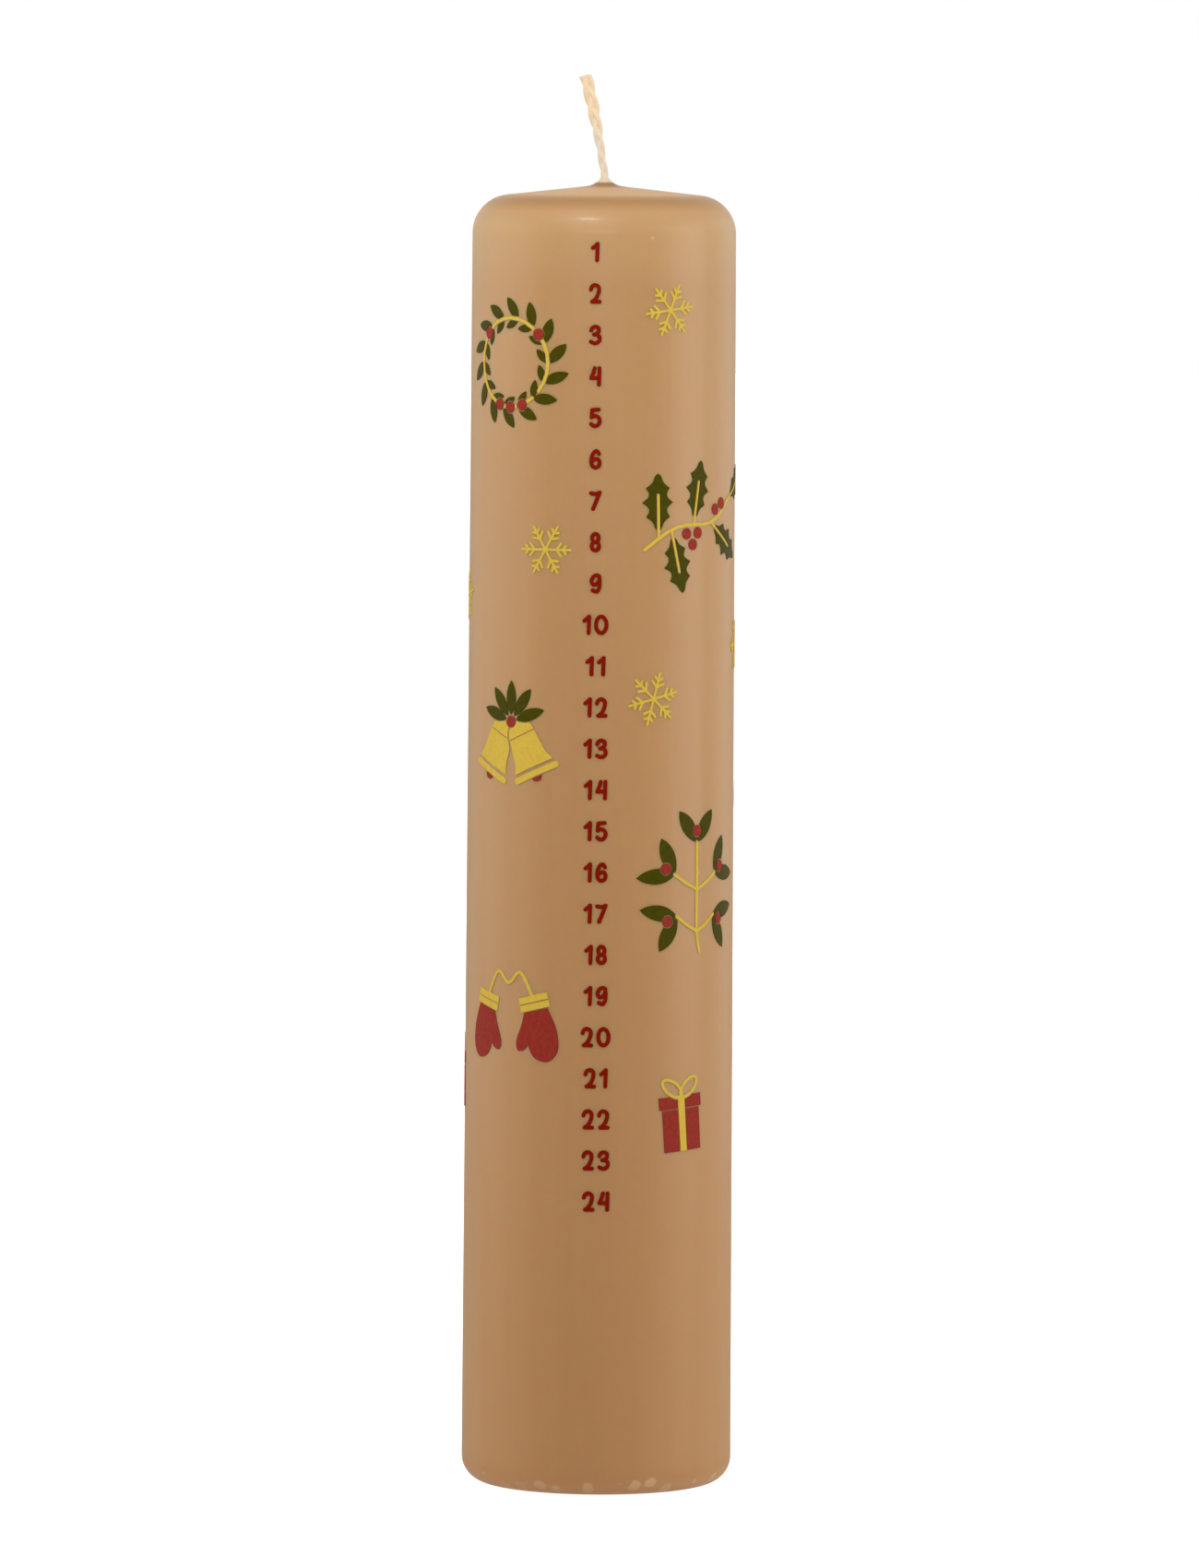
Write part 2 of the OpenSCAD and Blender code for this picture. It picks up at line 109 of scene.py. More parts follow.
def newMaterial(name, sockets):
    material = bpy.data.materials.new(name)
    material.use_nodes = True
    shader = material.node_tree.nodes["Principled BSDF"]
    for socket, value in sockets.items():
        shader.inputs[socket].default_value = value
    return material, material.node_tree, shader


def finishPiece(piece, name, material, slot, *replaced):
    piece.name = name
    piece.data.name = name
    piece.data.materials.clear()
    piece.data.materials.append(material)
    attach(piece, "root")
    if replaced:
        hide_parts(*replaced)


# Dip coat's shape

dip = {
    "height": 250 * mm,         # of the middle of the top, if it didn't climb the wick there
    "footRadius": 26 * mm,
    "shoulderRadius": 25.25 * mm,
    "footRound": 5 * mm,        # radius of the rounded foot
    "shoulderRound": 7.4 * mm,
    "topSlope": 6.3,            # degrees
    "thickness": 1.6 * mm,
    "footRim": 0.8 * mm,        # width of the dyed rim on the base
    "climbRound": 4 * mm,       # radius of the hollow curve that climbs the wick
    "climbSlope": 55,           # degrees, where that curve ends
    "channel": 0.7 * mm,        # radius of the wick's channel
    "turnSteps": 256,           # round the axis
    "rowSpacing": 2.5 * mm,     # up the side
    "topSteps": 6,              # up the sloping top
    "arcStep": 6,               # degrees, round a corner
    "weld": 0.002 * mm,         # points closer than this are made one
    "smoothAngle": 40,          # degrees
}


# Dyed wax: paraffin, dipped, so it is smooth, slightly translucent and softly glossy

paraffinIor = 1.44

dipWax = {
    "upperColour": "#D0A46E",     # the dye turns a little redder down the side
    "lowerColour": "#D39F69",
    "streakColour": "#BE8C55",
    "streakShare": 0.35,          # how much of it the strongest streak shows
    "streakWidth": 5 * mm,
    "streakLength": 120 * mm,
    "footPaintedLightColour": "#E5AA74",      # painted light: paler and warmer on the bottom of the foot round, which faces the floor and gets little light
    "footFull": 1.75 * mm,        # height up to which it has that colour
    "footFaded": 4.5 * mm,        # and where that has faded into the side's
    "topColoursAndPaintedShade": [
        # height above the middle of the top, colour there, how much it hides the side's; over the
        # shoulder and top most of these colours are painted light and shade
        # From here up the colour is a little yellower than the side's, painted to offset the orange that
        # the key lamp's light takes on in the wax
        (-20 * mm, "#CFA370", 0.0),
        (-14 * mm, "#D1A671", 1.0),
        (-10 * mm, "#D2A870", 1.0),
        (-6.8 * mm, "#D0A875", 1.0),
        (-5 * mm, "#D0A575", 1.0),
        (-3.5 * mm, "#C29662", 1.0),
        (-2.9 * mm, "#BC905F", 1.0),   # painted shade: the darkest band, where the shoulder faces up and forward, between the lamps
        (-2.2 * mm, "#CA9D66", 1.0),
        (-1.8 * mm, "#E5B070", 1.0),   # painted light: pale on the sloping top, as if lit from behind and above
        (-0.66 * mm, "#E3AE6E", 1.0),
        (-0.44 * mm, "#B3875A", 1.0),  # painted shade: dark again on the steep climb round the wick
        (0.2 * mm, "#AE835A", 1.0),
        (0.53 * mm, "#ECD8BA", 1.0),   # so thin here that the cotton shows through
    ],
    "spotColour": "#F0BD85",      # of bubbles, and of granules that show through near the foot
    "granule": 3 * mm,
    "granuleRim": (0.42, 0.48),   # its edge fades between these shares of it from its middle
    "granuleStray": 0.6,          # how far granules lie off a grid, where 1 is wholly random
    "granuleDraw": (0.3, 0.7),    # one that draws less than the first is hidden
    "granuleLift": 0.7 * mm,      # of the lowest layer of granules above the base
    "granuleTop": 2.6 * mm,       # none shows whose middle is higher than this
    "bubble": 1 * mm,             # across the largest of the few air bubbles caught in the wax
    "bubbleSpacing": 15 * mm,
    "bubbleShare": 0.6,           # how much of the spots' colour they show
    "scatter": 2.2 * mm,          # how far light travels under the surface
    "roughness": 0.44,
    "gloss": 0.12,                # a faint sharper shine over the soft one
    "glossRoughness": 0.14,
}


def addSide(tree, place, height):
    # The dye changes down the side, with faint streaks from the drip of each dip
    share = addNode(tree, "ShaderNodeMapRange", {"Value": height, "From Max": dip["height"]})
    side = addNode(tree, "ShaderNodeMix", {"data_type": "RGBA", 0: share.outputs[0],
        6: linearColour(dipWax["lowerColour"]), 7: linearColour(dipWax["upperColour"])})
    across, along = 1 / dipWax["streakWidth"], 1 / dipWax["streakLength"]
    stretched = addNode(tree, "ShaderNodeMapping",
        {"Vector": place, "Scale": (across, across, along)})
    streaks = addNode(tree, "ShaderNodeTexNoise",
        {"Vector": stretched.outputs[0], "Scale": 1.0, "Detail": 3.0, "Roughness": 0.6})
    faint = addNode(tree, "ShaderNodeMath",
        {"operation": "MULTIPLY", 0: streaks.outputs[0], 1: dipWax["streakShare"]})
    streaked = addNode(tree, "ShaderNodeMix", {"data_type": "RGBA", 0: faint.outputs[0],
        6: side.outputs[2], 7: linearColour(dipWax["streakColour"])})
    # Painted light: the bottom of the foot round faces down and gets little light, so its colour is made
    # paler and warmer there
    foot = addNode(tree, "ShaderNodeMapRange", {"Value": height,
        "From Min": dipWax["footFaded"], "From Max": dipWax["footFull"]})
    return addNode(tree, "ShaderNodeMix", {"data_type": "RGBA", 0: foot.outputs[0],
        6: streaked.outputs[2], 7: linearColour(dipWax["footPaintedLightColour"])})


def addTopColoursAndPaintedShade(tree, height):
    # Colours over the shoulder and the top, most of them painted light and shade, and in alpha how much
    # they hide the side's
    low, high = dipWax["topColoursAndPaintedShade"][0][0], dipWax["topColoursAndPaintedShade"][-1][0]
    place = addNode(tree, "ShaderNodeMapRange", {"Value": height,
        "From Min": dip["height"] + low, "From Max": dip["height"] + high})
    ramp = addNode(tree, "ShaderNodeValToRGB", {0: place.outputs[0]})
    stops = ramp.color_ramp.elements
    stops.remove(stops[1])    # of its own two, the first is kept for the lowest zone
    for above, colour, share in dipWax["topColoursAndPaintedShade"]:
        stop = stops.new((above - low) / (high - low)) if above > low else stops[0]
        stop.color = (*linearColour(colour)[:3], share)
    return ramp


def addGranules(tree, place):
    # Some of the round granules of the pressed core, those whose middle is low
    lowered = addNode(tree, "ShaderNodeMapping",
        {"Vector": place, "Location": (0, 0, -dipWax["granuleLift"])})
    cells = addNode(tree, "ShaderNodeTexVoronoi",
        {"Vector": lowered.outputs[0], "Scale": 1 / dipWax["granule"],
        "Randomness": dipWax["granuleStray"]})
    full, faded = dipWax["granuleRim"]
    patch = addNode(tree, "ShaderNodeMapRange", {"Value": cells.outputs["Distance"],
        "From Min": full, "From Max": faded, "To Min": 1.0, "To Max": 0.0})
    middle = addNode(tree, "ShaderNodeSeparateXYZ", {0: cells.outputs["Position"]})
    low = addNode(tree, "ShaderNodeMath", {"operation": "LESS_THAN",
        0: middle.outputs["Z"], 1: dipWax["granuleTop"] - dipWax["granuleLift"]})
    draw = addNode(tree, "ShaderNodeSeparateColor", {0: cells.outputs["Color"]})
    hidden, whole = dipWax["granuleDraw"]
    some = addNode(tree, "ShaderNodeMapRange",
        {"Value": draw.outputs[0], "From Min": hidden, "From Max": whole})
    lowPatch = addNode(tree, "ShaderNodeMath",
        {"operation": "MULTIPLY", 0: patch.outputs[0], 1: low.outputs[0]})
    return addNode(tree, "ShaderNodeMath",
        {"operation": "MULTIPLY", 0: lowPatch.outputs[0], 1: some.outputs[0]})


def addBubbles(tree, place):
    # A tiny pale spot wherever the surface meets one of the scattered bubbles
    spacing = dipWax["bubbleSpacing"]
    cells = addNode(tree, "ShaderNodeTexVoronoi", {"Vector": place, "Scale": 1 / spacing})
    return addNode(tree, "ShaderNodeMapRange", {"Value": cells.outputs["Distance"],
        "From Min": dipWax["bubble"] / 2 / spacing, "From Max": dipWax["bubble"] / 4 / spacing,
        "To Max": dipWax["bubbleShare"]})


def makeDipWax():
    material, tree, shader = newMaterial("dyed_paraffin_wax", {
        "Subsurface Radius": (1.0, 0.5, 0.25),
        "Subsurface Scale": dipWax["scatter"],
        "Roughness": dipWax["roughness"],
        "IOR": paraffinIor,
        "Coat Weight": dipWax["gloss"],
        "Coat Roughness": dipWax["glossRoughness"],
        "Coat IOR": paraffinIor,
    })
    place = addNode(tree, "ShaderNodeTexCoord", {}).outputs["Object"]
    height = addNode(tree, "ShaderNodeSeparateXYZ", {0: place}).outputs["Z"]
    topShading = addTopColoursAndPaintedShade(tree, height)
    topShaded = addNode(tree, "ShaderNodeMix", {"data_type": "RGBA", 0: topShading.outputs["Alpha"],
        6: addSide(tree, place, height).outputs[2], 7: topShading.outputs["Color"]})
    spots = addNode(tree, "ShaderNodeMath", {"operation": "MAXIMUM",
        0: addGranules(tree, place).outputs[0], 1: addBubbles(tree, place).outputs[0]})
    spotted = addNode(tree, "ShaderNodeMix", {"data_type": "RGBA", 0: spots.outputs[0],
        6: topShaded.outputs[2], 7: linearColour(dipWax["spotColour"])})
    shadedClimb, thinnest = dipWax["topColoursAndPaintedShade"][-2][0], dipWax["topColoursAndPaintedShade"][-1][0]
    thin = addNode(tree, "ShaderNodeMapRange", {"Value": height,
        "From Min": dip["height"] + shadedClimb, "From Max": dip["height"] + thinnest})
    # Light doesn't sink in where the wax is thin
    bare = addNode(tree, "ShaderNodeMath",
        {"operation": "MAXIMUM", 0: thin.outputs[0], 1: spots.outputs[0]})
    depth = addNode(tree, "ShaderNodeMath",
        {"operation": "SUBTRACT", 0: 1.0, 1: bare.outputs[0]})
    tree.links.new(spotted.outputs[2], shader.inputs["Base Color"])
    tree.links.new(depth.outputs[0], shader.inputs["Subsurface Weight"])
    return material


# Pressed wax: bare granules, pale and matt, with darker seams between them

pressedWax = {
    "colour": "#F0E6D2",
    "seamColour": "#D9C6A6",
    "seam": 0.12,               # as a share of a granule
    "relief": 0.15 * mm,        # depth of a seam
    "scatter": 1.2 * mm,
    "roughness": 0.55,
}


def makeCoreWax():
    material, tree, shader = newMaterial("pressed_paraffin_granules", {
        "Subsurface Weight": 0.6,
        "Subsurface Radius": (1.0, 0.8, 0.6),
        "Subsurface Scale": pressedWax["scatter"],
        "Roughness": pressedWax["roughness"],
        "IOR": paraffinIor,
    })
    place = addNode(tree, "ShaderNodeTexCoord", {}).outputs["Object"]
    cells = addNode(tree, "ShaderNodeTexVoronoi",
        {"feature": "DISTANCE_TO_EDGE", "Vector": place, "Scale": 1 / dipWax["granule"]})
    body = addNode(tree, "ShaderNodeMapRange",
        {"Value": cells.outputs[0], "From Max": pressedWax["seam"]})
    shade = addNode(tree, "ShaderNodeMix", {"data_type": "RGBA", 0: body.outputs[0],
        6: linearColour(pressedWax["seamColour"]), 7: linearColour(pressedWax["colour"])})
    bump = addNode(tree, "ShaderNodeBump",
        {"Height": body.outputs[0], "Strength": 0.6, "Distance": pressedWax["relief"]})
    tree.links.new(shade.outputs[2], shader.inputs["Base Color"])
    tree.links.new(bump.outputs[0], shader.inputs["Normal"])
    return material


# Ink film: screen-printed pigment, so it is even and nearly matt, with a slight mottle

printInk = {
    "colours": {
        # where the film is full, where it is thin
        "deepRed": ("#8A1300", "#941A00"),
        "red": ("#9E3226", "#A83C30"),
        "green": ("#484402", "#524D08"),
        "yellow": ("#EAC64C", "#E2BA4A"),
    },
    "mottle": 0.8 * mm,       # the real one is finer, and wouldn't show
    "thin": (0.35, 0.75),     # it thins out between these values of the mottle's noise
    "roughness": 0.42,
    "shine": 0.05,            # the pigment lies at the surface and dulls it
}


def makeInk(name, full, thin):
    material, tree, shader = newMaterial(name, {
        "Roughness": printInk["roughness"],
        "IOR": 1.44,
        "Specular IOR Level": printInk["shine"],
    })
    place = addNode(tree, "ShaderNodeTexCoord", {}).outputs["Object"]
    mottle = addNode(tree, "ShaderNodeTexNoise",
        {"Vector": place, "Scale": 1 / printInk["mottle"], "Detail": 4.0})
    low, high = printInk["thin"]
    level = addNode(tree, "ShaderNodeMapRange",
        {"Value": mottle.outputs[0], "From Min": low, "From Max": high})
    shade = addNode(tree, "ShaderNodeMix", {"data_type": "RGBA", 0: level.outputs[0],
        6: linearColour(full), 7: linearColour(thin)})
    tree.links.new(shade.outputs[2], shader.inputs["Base Color"])
    return material


# Cotton primed with clear wax: cream yarn with a soft shine, paler where more wax has soaked in

cottonYarn = {
    "waxedColour": "#F1E5D0",
    "dryColour": "#FCE2BC",
    "fibreColour": "#F3D8B0",   # of stretches where the fibres lie looser
    "fibreShare": 0.4,
    "fibre": 1.2 * mm,          # length of such a stretch; single fibres are too fine to show
    "waxedTo": 258 * mm,        # height up to which the wax has soaked in
    "dryFrom": 264 * mm,
    "roughness": 0.6,
}


def makeCotton():
    material, tree, shader = newMaterial("wax_primed_cotton", {
        "Roughness": cottonYarn["roughness"],
        "IOR": paraffinIor,
    })
    place = addNode(tree, "ShaderNodeTexCoord", {}).outputs["Object"]
    height = addNode(tree, "ShaderNodeSeparateXYZ", {0: place}).outputs["Z"]
    dry = addNode(tree, "ShaderNodeMapRange", {"Value": height,
        "From Min": cottonYarn["waxedTo"], "From Max": cottonYarn["dryFrom"]})
    yarn = addNode(tree, "ShaderNodeMix", {"data_type": "RGBA", 0: dry.outputs[0],
        6: linearColour(cottonYarn["waxedColour"]), 7: linearColour(cottonYarn["dryColour"])})
    fibre = addNode(tree, "ShaderNodeTexNoise",
        {"Vector": place, "Scale": 1 / cottonYarn["fibre"], "Detail": 1.0})
    share = addNode(tree, "ShaderNodeMath",
        {"operation": "MULTIPLY", 0: fibre.outputs[0], 1: cottonYarn["fibreShare"]})
    shade = addNode(tree, "ShaderNodeMix", {"data_type": "RGBA", 0: share.outputs[0],
        6: yarn.outputs[2], 7: linearColour(cottonYarn["fibreColour"])})
    tree.links.new(shade.outputs[2], shader.inputs["Base Color"])
    return material


dyedWax = makeDipWax()
coreWax = makeCoreWax()
inks = {key: makeInk(key + "_print_ink", *pair) for key, pair in printInk["colours"].items()}
cotton = makeCotton()
print("candle: materials made")


# Dip coat

def roundedCorner(a, b, c, radius):
    # Points of the arc that rounds the corner at b, on the way from a to c
    u = (a - b).normalized()
    v = (c - b).normalized()
    half = u.angle(v) / 2
    centre = b + (u + v).normalized() * radius / math.sin(half)
    start = b + u * radius / math.tan(half) - centre
    side = 1 if (b - a).x * (c - b).y - (b - a).y * (c - b).x > 0 else -1
    turn = side * (math.pi - 2 * half)
    steps = max(2, math.ceil(abs(math.degrees(turn)) / dip["arcStep"]))
    return [centre + Matrix.Rotation(turn * i / steps, 2) @ start for i in range(steps + 1)]


def climbArc():
    # Points of the hollow curve from the sloping top up the wick
    first, last = math.radians(dip["topSlope"]), math.radians(dip["climbSlope"])
    radius = dip["climbRound"]
    footR = dip["channel"] + radius * (math.sin(last) - math.sin(first))
    foot = Vector((footR, dip["height"] - footR * math.tan(first)))
    centre = foot + radius * Vector((math.sin(first), math.cos(first)))
    steps = math.ceil((dip["climbSlope"] - dip["topSlope"]) / dip["arcStep"])
    angles = [first + (last - first) * i / steps for i in range(steps + 1)]
    return [centre - radius * Vector((math.sin(a), math.cos(a))) for a in angles]


def pointOnTop(radius, drop=0):
    slope = math.tan(math.radians(dip["topSlope"]))
    return Vector((radius, dip["height"] - radius * slope - drop))


def between(a, b, steps):
    return [a.lerp(b, i / steps) for i in range(1, steps)]


def outsideProfile():
    # From the base up the side, over the shoulder and up the wick
    foot, shoulder = Vector((dip["footRadius"], 0)), pointOnTop(dip["shoulderRadius"])
    climb = climbArc()
    lower = roundedCorner(Vector((0, 0)), foot, shoulder, dip["footRound"])
    upper = roundedCorner(foot, shoulder, climb[0], dip["shoulderRound"])
    rows = round((upper[0] - lower[-1]).length / dip["rowSpacing"])
    side = between(lower[-1], upper[0], rows)
    top = between(upper[-1], climb[0], dip["topSteps"])
    return lower + side + upper + top + climb


def insideProfile():
    # The same way along the core
    wall = dip["thickness"]
    drop = wall / math.cos(math.radians(dip["topSlope"]))
    base = Vector((dip["footRadius"] - dip["footRound"] - dip["footRim"], 0))
    foot = Vector((dip["footRadius"] - wall, dip["footRound"]))
    shoulder = pointOnTop(dip["shoulderRadius"] - wall, drop)
    middle = pointOnTop(dip["channel"], drop)
    lower = roundedCorner(base, foot, shoulder, dip["footRound"] / 2)
    upper = roundedCorner(foot, shoulder, middle, dip["shoulderRound"] - wall)
    return [base] + lower + upper + [middle]


def makeDipCoat():
    deselectAll()
    profile = outsideProfile() + insideProfile()[::-1]
    bpy.ops.mesh.primitive_plane_add(size=1 * mm, location=(0, 0, 0))
    coat = bpy.context.object
    bpy.ops.object.mode_set(mode="EDIT")
    # Merged to one point, the plane is the pen that draws the profile
    bpy.ops.mesh.merge(type="CENTER")
    bpy.ops.transform.translate(value=(profile[0].x, 0, profile[0].y))
    for before, after in zip(profile, profile[1:] + profile[:1]):
        step = after - before
        bpy.ops.mesh.extrude_region_move(TRANSFORM_OT_translate={"value": (step.x, 0, step.y)})
    bpy.ops.mesh.select_all(action="SELECT")
    bpy.ops.mesh.remove_doubles(threshold=dip["weld"])
    bpy.ops.mesh.spin(steps=dip["turnSteps"], angle=2 * math.pi, center=(0, 0, 0), axis=(0, 0, 1))
    bpy.ops.mesh.select_all(action="SELECT")
    bpy.ops.mesh.remove_doubles(threshold=dip["weld"])
    bpy.ops.mesh.normals_make_consistent(inside=False)
    bpy.ops.object.mode_set(mode="OBJECT")
    shadeSmooth(coat, dip["smoothAngle"])
    finishPiece(coat, "dipped_wax", dyedWax, "dyed_wax", "dip_coat")
    return coat


dipCoat = makeDipCoat()
print("candle: dip coat made,", len(dipCoat.data.polygons), "faces")


# Wick: a flat braid of three strands, each of a few yarns, stiffened with clear wax

wick = {
    "lean": 7.5,                # degrees, where it leaves the wax
    "tipLean": 14.5,            # and at its tip
    "free": 19.9 * mm,          # length above the wax
    "stem": 1.3 * mm,           # across, inside the wax
    "stemSides": 32,
    "stemDown": 1 * mm,         # from the top of the wax to the stem's end inside the braid
    "width": 1.65 * mm,         # of the braid where it leaves the wax
    "tipWidth": 2.6 * mm,
    "depth": 1.3 * mm,          # of the braid from front to back
    "flare": (0.2, 0.72),       # it widens between these shares of its free length
    "start": climbArc()[-1].y,  # height where the wax lets it go
    "buried": 3 * mm,           # braid below that height
    "trim": 0.5 * mm,           # cut off its buried end
    "spare": 1 * mm,            # and off its free end
    "strands": 3,
    "yarns": 6,
    "braidPitch": 12.6 * mm,
    "yarnPitch": 4.0 * mm,
    "yarnRadius": 0.36 * mm,
    "yarnStep": 0.25 * mm,
    "strandRadius": 0.22 * mm,  # from a strand's middle to the middle of its yarns
    "deep": 0.17 * mm,          # how far a strand sways from front to back
    "phase": 0.24,              # where the braid starts, as a share of its pitch
    "grow": 100,                # the braid is remeshed at this many times its size
    "voxel": 0.07 * mm,
    "smoothing": 40,            # passes; the wax it is primed with fills the grooves
    "smoothAngle": 75,          # degrees
}


def yarnPoints(strand, yarn):
    # A yarn winds round its strand, and the strand weaves from side to side in the braid
    points = []
    total = wick["free"] + wick["buried"] + wick["spare"]
    steps = round(total / wick["yarnStep"])
    sway = 0.5 * wick["tipWidth"] - wick["strandRadius"] - wick["yarnRadius"]
    for i in range(steps + 1):
        s = total * i / steps
        weave = 2 * math.pi * (s / wick["braidPitch"] + strand / wick["strands"] + wick["phase"])
        twist = 2 * math.pi * (s / wick["yarnPitch"] + yarn / wick["yarns"])
        x = sway * math.sin(weave) + wick["strandRadius"] * math.cos(twist)
        y = wick["deep"] * math.sin(2 * weave) + wick["strandRadius"] * math.sin(twist)
        points.append(Vector((x, y, s - wick["buried"])))
    return points


def makeBraid():
    deselectAll()
    curve = bpy.data.curves.new("yarns", "CURVE")
    curve.dimensions = "3D"
    curve.bevel_depth = wick["yarnRadius"] * wick["grow"]
    curve.bevel_resolution = 3
    curve.use_fill_caps = True
    for strand in range(wick["strands"]):
        for yarn in range(wick["yarns"]):
            points = yarnPoints(strand, yarn)
            spline = curve.splines.new("POLY")
            spline.points.add(len(points) - 1)
            for target, point in zip(spline.points, points):
                target.co = (*(point * wick["grow"]), 1)
    piece = bpy.data.objects.new("yarns", curve)
    bpy.context.collection.objects.link(piece)
    pick(piece)
    bpy.ops.object.convert(target="MESH")
    piece = bpy.context.object
    bpy.ops.object.modifier_add(type="REMESH")
    piece.modifiers[-1].mode = "VOXEL"
    piece.modifiers[-1].voxel_size = wick["voxel"] * wick["grow"]
    bpy.ops.object.modifier_apply(modifier=piece.modifiers[-1].name)
    bpy.ops.object.modifier_add(type="SMOOTH")
    piece.modifiers[-1].iterations = wick["smoothing"]
    bpy.ops.object.modifier_apply(modifier=piece.modifiers[-1].name)
    # The cut end and the buried end are both sliced square
    bpy.ops.object.mode_set(mode="EDIT")
    for level, outer in ((wick["free"], True), (wick["trim"] - wick["buried"], False)):
        bpy.ops.mesh.select_all(action="SELECT")
        bpy.ops.mesh.bisect(plane_co=(0, 0, level * wick["grow"]), plane_no=(0, 0, 1),
            use_fill=True, clear_outer=outer, clear_inner=not outer)
    bpy.ops.object.mode_set(mode="OBJECT")
    return piece


def widthAt(s):
    # The braid's width at the length s above the wax
    start, end = wick["flare"]
    share = min(max((s / wick["free"] - start) / (end - start), 0), 1)
    flared = share * share * (3 - 2 * share)
    return wick["width"] + (wick["tipWidth"] - wick["width"]) * flared


def bendBraid(piece):
    # Upright up to where it leaves the wax, and from there on an even bend
    first, last = math.radians(wick["lean"]), math.radians(wick["tipLean"])
    bend = (last - first) / wick["free"]
    wovenDepth = 2 * (wick["deep"] + wick["strandRadius"] + wick["yarnRadius"])
    for vertex in piece.data.vertices:
        x, y, s = vertex.co / wick["grow"]
        x *= widthAt(s) / wick["tipWidth"]
        y *= wick["depth"] / wovenDepth
        lean, aside, up = 0, 0, s
        if s > 0:
            lean = first + bend * s
            aside = (math.cos(lean) - math.cos(first)) / bend
            up = (math.sin(lean) - math.sin(first)) / bend
        vertex.co = (aside + x * math.cos(lean), y, wick["start"] + up + x * math.sin(lean))


def addStem(piece):
    deselectAll()
    length = dip["height"] - wick["stemDown"]
    bpy.ops.mesh.primitive_cylinder_add(vertices=wick["stemSides"],
        radius=wick["stem"] / 2, depth=length, location=(0, 0, length / 2))
    stem = bpy.context.object
    bpy.ops.object.transform_apply(location=True)
    shadeSmooth(stem, dip["smoothAngle"])
    pick(piece)
    stem.select_set(True)
    bpy.ops.object.join()


def makeWick():
    braid = makeBraid()
    bendBraid(braid)
    shadeSmooth(braid, wick["smoothAngle"])
    addStem(braid)
    finishPiece(braid, "braided_wick", cotton, "cotton", "wick")
    return braid


braidedWick = makeWick()
print("candle: wick made,", len(braidedWick.data.polygons), "faces")


# Core and prints, which keep their own shapes

inkOf = {
    "deepRed": [name for name in nodes if name.startswith("day_")],
    "red": ["holly_berries", "wreath_berries", "bell_clappers", "mistletoe_berries",
        "mittens", "gift_boxes"],
    "green": ["holly_leaves", "wreath_leaves", "bell_leaves", "mistletoe_leaves"],
    "yellow": ["holly_stems", "wreath_twig", "bells", "snowflakes", "mistletoe_stems",
        "mitten_cuffs", "gift_ribbons"],
}


def dress(node, material):
    for slot in nodes[node].material_slots:
        slot.material = material


for colour, names in inkOf.items():
    for name in names:
        dress(name, inks[colour])
dress("wax_core", coreWax)
print("candle: nodes dressed")


# Light: a white studio with panels behind and beside the candle and two small lamps in front

lights = {
    # place and aim in metres, width and height of the lamp, watts
    "backPanel": {"place": (0, 1.6, 0.4), "aim": (0, 0, 0.2), "size": (2.4, 0.4), "watts": 1.29},
    "highBackPanel": {"place": (0, 1.6, 0.85), "aim": (0, 0, 0.25), "size": (1.6, 0.3), "watts": 0.94},
    "leftPanel": {"place": (-1, 0, 0.3), "aim": (0, 0, 0.15), "size": (1, 0.7), "watts": 2.59},
    "leftBackPanel": {"place": (-0.85, 0.7, 0.3), "aim": (0, 0, 0.15), "size": (0.7, 0.7), "watts": 0.83},
    "rightPanel": {"place": (1.05, -0.2, 0.3), "aim": (0, 0, 0.15), "size": (0.7, 0.7), "watts": 4.18},
    "rightBackPanel": {"place": (0.85, 0.7, 0.3), "aim": (0, 0, 0.15), "size": (0.7, 0.7), "watts": 1.39},
    "keyLamp": {"place": (-0.085, -0.27, 0.53), "aim": (0, 0, 0.22), "size": (0.1, 0.03), "watts": 0.54},
    "fillLamp": {"place": (-0.05, -0.45, 0.33), "aim": (0, 0, 0.235), "size": (0.3, 0.05), "watts": 0.35},
}

studio = {
    "colour": "#FFFFFF",
    "ambient": 0.42,      # light from all round
    "reflected": 0.33,    # how bright the room looks in a gloss
    "backdrop": 1.0,      # and to the camera
    "floorSize": 16.0,
    "floorColour": "#EDEDED",
    "floorGlow": 0.9,
    "floorRoughness": 0.8,
}


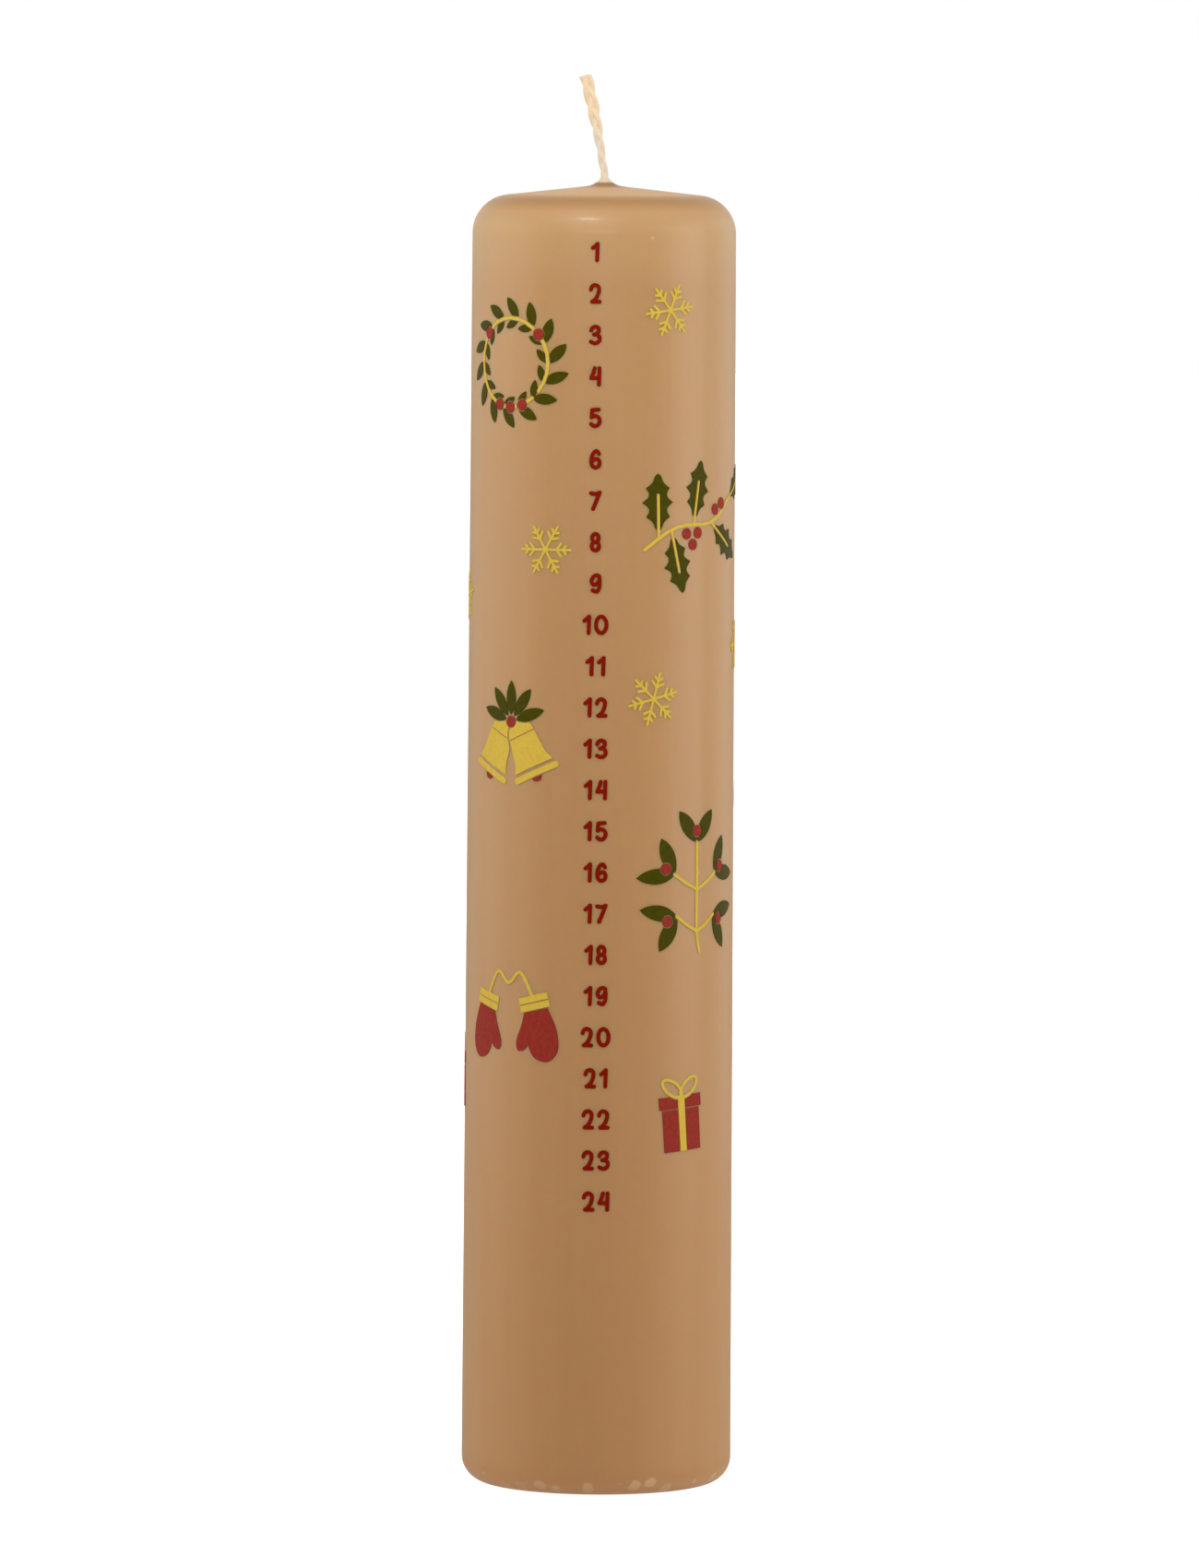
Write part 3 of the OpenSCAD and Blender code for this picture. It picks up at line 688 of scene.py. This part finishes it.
def addLights():
    for name, light in lights.items():
        deselectAll()
        bpy.ops.object.light_add(type="AREA", location=light["place"])
        lamp = bpy.context.object
        lamp.name = name
        lamp.data.shape = "RECTANGLE"
        lamp.data.size, lamp.data.size_y = light["size"]
        lamp.data.energy = light["watts"]
        beam = Vector(light["aim"]) - Vector(light["place"])
        lamp.rotation_euler = beam.to_track_quat("-Z", "Y").to_euler()
        lamp.visible_camera = False


def addWorld():
    world = bpy.data.worlds.new("studio")
    bpy.context.scene.world = world
    world.use_nodes = True
    tree = world.node_tree
    background = tree.nodes["Background"]
    path = addNode(tree, "ShaderNodeLightPath", {})
    gloss = addNode(tree, "ShaderNodeMapRange", {"Value": path.outputs["Is Glossy Ray"],
        "To Min": studio["ambient"], "To Max": studio["reflected"]})
    strength = addNode(tree, "ShaderNodeMapRange", {"Value": path.outputs["Is Camera Ray"],
        "To Min": gloss.outputs[0], "To Max": studio["backdrop"]})
    tree.links.new(strength.outputs[0], background.inputs["Strength"])
    background.inputs["Color"].default_value = linearColour(studio["colour"])


def addFloor():
    # A painted board, so matt that the candle isn't mirrored in it
    deselectAll()
    bpy.ops.mesh.primitive_plane_add(size=studio["floorSize"])
    floor = bpy.context.object
    floor.name = "floor"
    material, tree, shader = newMaterial("matt_white_board", {
        "Base Color": linearColour(studio["floorColour"]),
        "Roughness": studio["floorRoughness"],
        "Emission Color": linearColour(studio["colour"]),
        "Emission Strength": studio["floorGlow"],
    })
    # It lights nothing else, so the render spends no light samples on it
    material.cycles.emission_sampling = "NONE"
    # It is seen from above only, so the candle can be looked at from below
    below = addNode(tree, "ShaderNodeNewGeometry", {}).outputs["Backfacing"]
    clear = addNode(tree, "ShaderNodeBsdfTransparent", {})
    board = addNode(tree, "ShaderNodeMixShader",
        {0: below, 1: shader.outputs[0], 2: clear.outputs[0]})
    tree.links.new(board.outputs[0], tree.nodes["Material Output"].inputs["Surface"])
    floor.data.materials.append(material)
    floor.visible_diffuse = False
    floor.visible_glossy = False


addLights()
addWorld()
addFloor()
bpy.context.scene.view_settings.view_transform = "Standard"
print("candle: studio lit")
